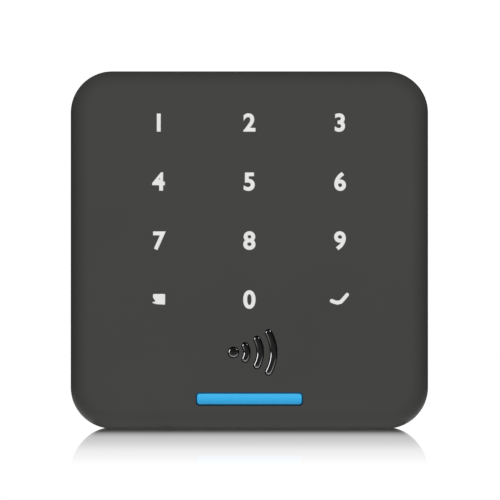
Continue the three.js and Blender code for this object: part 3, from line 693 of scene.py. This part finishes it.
def soften(node, width_mm):
    """Merges flat faces and rounds the edges between them, as a modifier stack."""
    weld = node.modifiers.new("weld", "WELD")
    weld.merge_threshold = SAME_POINT * MM
    flat = node.modifiers.new("flat_faces", "DECIMATE")
    flat.decimate_type = "DISSOLVE"
    flat.angle_limit = math.radians(FLAT_ANGLE)
    bevel = node.modifiers.new("edges", "BEVEL")
    bevel.width = width_mm * MM
    bevel.segments = 2
    bevel.limit_method = "ANGLE"
    bevel.angle_limit = math.radians(EDGE_ANGLE)
    bevel.use_clamp_overlap = True
    smooth = node.modifiers.new("weighted_normals", "WEIGHTED_NORMAL")
    smooth.keep_sharp = True


def finish_cad_nodes():
    slots = {part["node"]: part["material_slot"] for part in frame["record"]["subparts"]}
    for name, node in frame["nodes"].items():
        material = MATERIALS[slots[name]]
        node.data.materials.clear()
        node.data.materials.append(material)
        for polygon in node.data.polygons:
            polygon.use_smooth = True
        soften(node, WIDER_EDGES.get(name, EDGE_WIDTH))


# ---- Stage ----

FILL = 0.7146  # share of the picture's width that the reader takes
CAMERA_DISTANCE = 0.8
SENSOR = 36
SHIFT_RIGHT = 0.15 * MM
CLIP_END = 50


def add_camera():
    data = bpy.data.cameras.new("camera")
    data.sensor_width = SENSOR
    data.lens = SENSOR * (CAMERA_DISTANCE + ROLL_DEEP * MM) * FILL / (SIDE * MM)
    data.clip_end = CLIP_END
    camera = link("camera", data)
    camera.location = (SHIFT_RIGHT, LOW.y - CAMERA_DISTANCE, 0)
    camera.rotation_euler = (math.pi / 2, 0, 0)
    bpy.context.scene.camera = camera


def softbox(name, place, size_x, size_y, radiance):
    """A lamp that points at the reader; a radiance of 1 shows as white."""
    data = bpy.data.lights.new(name, "AREA")
    data.shape = "RECTANGLE"
    data.size, data.size_y = size_x, size_y
    data.energy = radiance * math.pi * size_x * size_y
    lamp = link(name, data)
    lamp.location = place
    lamp.rotation_euler = (-Vector(place)).to_track_quat("-Z", "Y").to_euler()
    return lamp


def only_lights(lamp, *pieces):
    receivers = bpy.data.collections.new(lamp.name + "_receivers")
    for piece in pieces:
        receivers.objects.link(piece)
    lamp.light_linking.receiver_collection = receivers


def add_shine(name, place, size, radiance, pieces):
    """A lamp that these pieces reflect, and that lights nothing softly."""
    shine = softbox(name, place, size, size, radiance)
    shine.visible_diffuse = False
    only_lights(shine, *pieces)


def add_lights(cover, symbol):
    """A soft lamp in front, some behind, and two whose glint only the chrome symbol shows.

    The front cover takes the rear lamps' light but not their reflection, so that its rounded
    outline stays dark against the white.
    """
    front = softbox("front_softbox", (0, -1.5, 0.25), 0.9, 0.8, radiance=11.4)
    front.visible_glossy = False
    all_but_cover = [piece for piece in bpy.data.objects if piece.type == "MESH" and piece != cover]
    rear_size = 1.2
    for side, name in ((-1, "left"), (1, "right")):
        place = (1.3 * side, 1.5, 1.0)
        fill = softbox(f"{name}_rear_fill", place, rear_size, rear_size, radiance=6.0)
        fill.visible_glossy = False
        add_shine(f"{name}_rear_shine", place, rear_size, 3.5, all_but_cover)
    add_shine("rear_glow", (0, 2.4, 0.7), size=3.6, radiance=0.75, pieces=all_but_cover)
    only_lights(softbox("left_glint", (-1.5, -0.5, 0.1), 2.2, 1.6, radiance=4.0), symbol)
    only_lights(softbox("right_glint", (1.2, -0.6, 1.2), 0.8, 0.8, radiance=4.0), symbol)


def level_by_ray(tree, seen, lighting, shine):
    """A level that differs for what is seen, for soft light and for blurred reflections."""
    rays = tree.nodes.new("ShaderNodeLightPath")

    def feed(level, target):
        if isinstance(level, float):
            target.default_value = level
        else:
            tree.links.new(level, target)

    def step(previous, ray, level):
        mix = tree.nodes.new("ShaderNodeMix")
        tree.links.new(rays.outputs[ray], mix.inputs["Factor"])
        feed(previous, mix.inputs["A"])
        feed(level, mix.inputs["B"])
        return mix.outputs["Result"]

    level = step(shine, "Is Diffuse Ray", lighting)
    level = step(level, "Is Singular Ray", seen)
    return step(level, "Is Camera Ray", seen)


def add_world():
    """White behind the reader and in the polished floor, and dim for the reader's own shine."""
    world = bpy.data.worlds.new("studio")
    world.use_nodes = True
    tree = world.node_tree
    level = level_by_ray(tree, seen=1.05, lighting=0.06, shine=0.025)
    tree.links.new(level, tree.nodes["Background"].inputs["Color"])
    bpy.context.scene.world = world


FLOOR_GAP = 0.03 * MM
FLOOR_REACH = 4
FADE_LENGTH = 0.14
BOUNCE_LEVEL, BOUNCE_LENGTH = 1.5, 0.009

# How much of the floor's light is a mirror image, by the share of FADE_LENGTH from the reader.
FLOOR_SHINE = (
    (0.0, 1.0),
    (0.04, 0.97),
    (0.10, 0.77),
    (0.16, 0.6),
    (0.22, 0.49),
    (0.34, 0.41),
    (0.45, 0.32),
    (0.55, 0.21),
    (0.66, 0.145),
    (0.75, 0.11),
    (0.87, 0.045),
    (1.0, 0.0),
)


def outside(nodes, output, low, high):
    """Distance of a coordinate from the stretch between low and high."""
    below = nodes.add("Math", operation="SUBTRACT")
    below.inputs[0].default_value = low
    nodes.link(output, below.inputs[1])
    above = nodes.add("Math", operation="SUBTRACT")
    nodes.link(output, above.inputs[0])
    above.inputs[1].default_value = high
    larger = nodes.add("Math", operation="MAXIMUM")
    nodes.link(below.outputs[0], larger.inputs[0])
    nodes.link(above.outputs[0], larger.inputs[1])
    positive = nodes.add("Math", operation="MAXIMUM")
    nodes.link(larger.outputs[0], positive.inputs[0])
    positive.inputs[1].default_value = 0
    return positive.outputs[0]


def distance_from_reader(nodes, split, front):
    """Distance from the reader's footprint, which starts at this y in front."""
    away = nodes.add("CombineXYZ")
    nodes.link(outside(nodes, split.outputs["X"], LOW.x, HIGH.x), away.inputs["X"])
    nodes.link(outside(nodes, split.outputs["Y"], front, HIGH.y), away.inputs["Y"])
    distance = nodes.add("VectorMath", operation="LENGTH")
    nodes.link(away.outputs["Vector"], distance.inputs[0])
    return distance.outputs["Value"]


def mix_shaders(nodes, factor, first, second):
    mixed = nodes.add("MixShader")
    nodes.link(factor, mixed.inputs[0])
    nodes.link(first, mixed.inputs[1])
    nodes.link(second, mixed.inputs[2])
    return mixed.outputs[0]


def floor_mirror_share(nodes, split):
    """The mirror's share of the floor: fading, and none for light that bounces off the reader."""
    fade = nodes.to_range(distance_from_reader(nodes, split, LOW.y), 0, 1, (0, FADE_LENGTH))
    polish = nodes.ramp(fade, [(position, (level,) * 3) for position, level in FLOOR_SHINE])
    rays = nodes.add("LightPath")
    share = nodes.add("Mix", data_type="FLOAT")
    nodes.link(rays.outputs["Is Diffuse Ray"], share.inputs["Factor"])
    nodes.link(polish, share.inputs["A"])
    share.inputs["B"].default_value = 0
    return share.outputs["Result"]


def floor_material():
    """White that shows a mirror image near the reader, and that lights the reader's lower edge."""
    nodes = Nodes("floor_white")
    split = nodes.add("SeparateXYZ")
    nodes.link(nodes.place, split.inputs["Vector"])
    foot = LOW.y + ROLL_DEEP * MM
    near_foot = distance_from_reader(nodes, split, foot)
    bounce = nodes.to_range(near_foot, BOUNCE_LEVEL, 0, (0, BOUNCE_LENGTH))
    white = nodes.add("Emission")
    white.inputs["Color"].default_value = (1, 1, 1, 1)
    level = level_by_ray(nodes.tree, seen=1.02, lighting=bounce, shine=0.05)
    nodes.link(level, white.inputs["Strength"])
    mirror = nodes.add("BsdfGlossy")
    mirror.inputs["Color"].default_value = (1, 1, 1, 1)
    mirror.inputs["Roughness"].default_value = 0
    share = floor_mirror_share(nodes, split)
    upper_side = mix_shaders(nodes, share, white.outputs[0], mirror.outputs[0])
    from_below = nodes.add("NewGeometry").outputs["Backfacing"]
    clear = nodes.add("BsdfTransparent").outputs[0]
    one_sided = mix_shaders(nodes, from_below, upper_side, clear)
    nodes.link(one_sided, nodes.tree.nodes["Material Output"].inputs["Surface"])
    return nodes.material


def add_floor():
    """A white polished floor just below the reader.

    It is seen from above only, so a view from below looks through it.
    """
    z = LOW.z - FLOOR_GAP
    corners = [(FLOOR_REACH * sx, FLOOR_REACH * sy, z) for sx, sy in ((-1, -1), (1, -1), (1, 1), (-1, 1))]
    mesh = bpy.data.meshes.new("floor")
    mesh.from_pydata(corners, [], [(0, 1, 2, 3)])
    mesh.materials.append(floor_material())
    floor = link("floor", mesh)


# ---- The scene ----

front_cover = make_front_cover()
make_legends()
make_light_bar()
card_symbol = make_card_symbol()
finish_cad_nodes()

add_camera()
add_world()
add_lights(front_cover, card_symbol)
add_floor()
bpy.context.scene.view_settings.view_transform = "Standard"
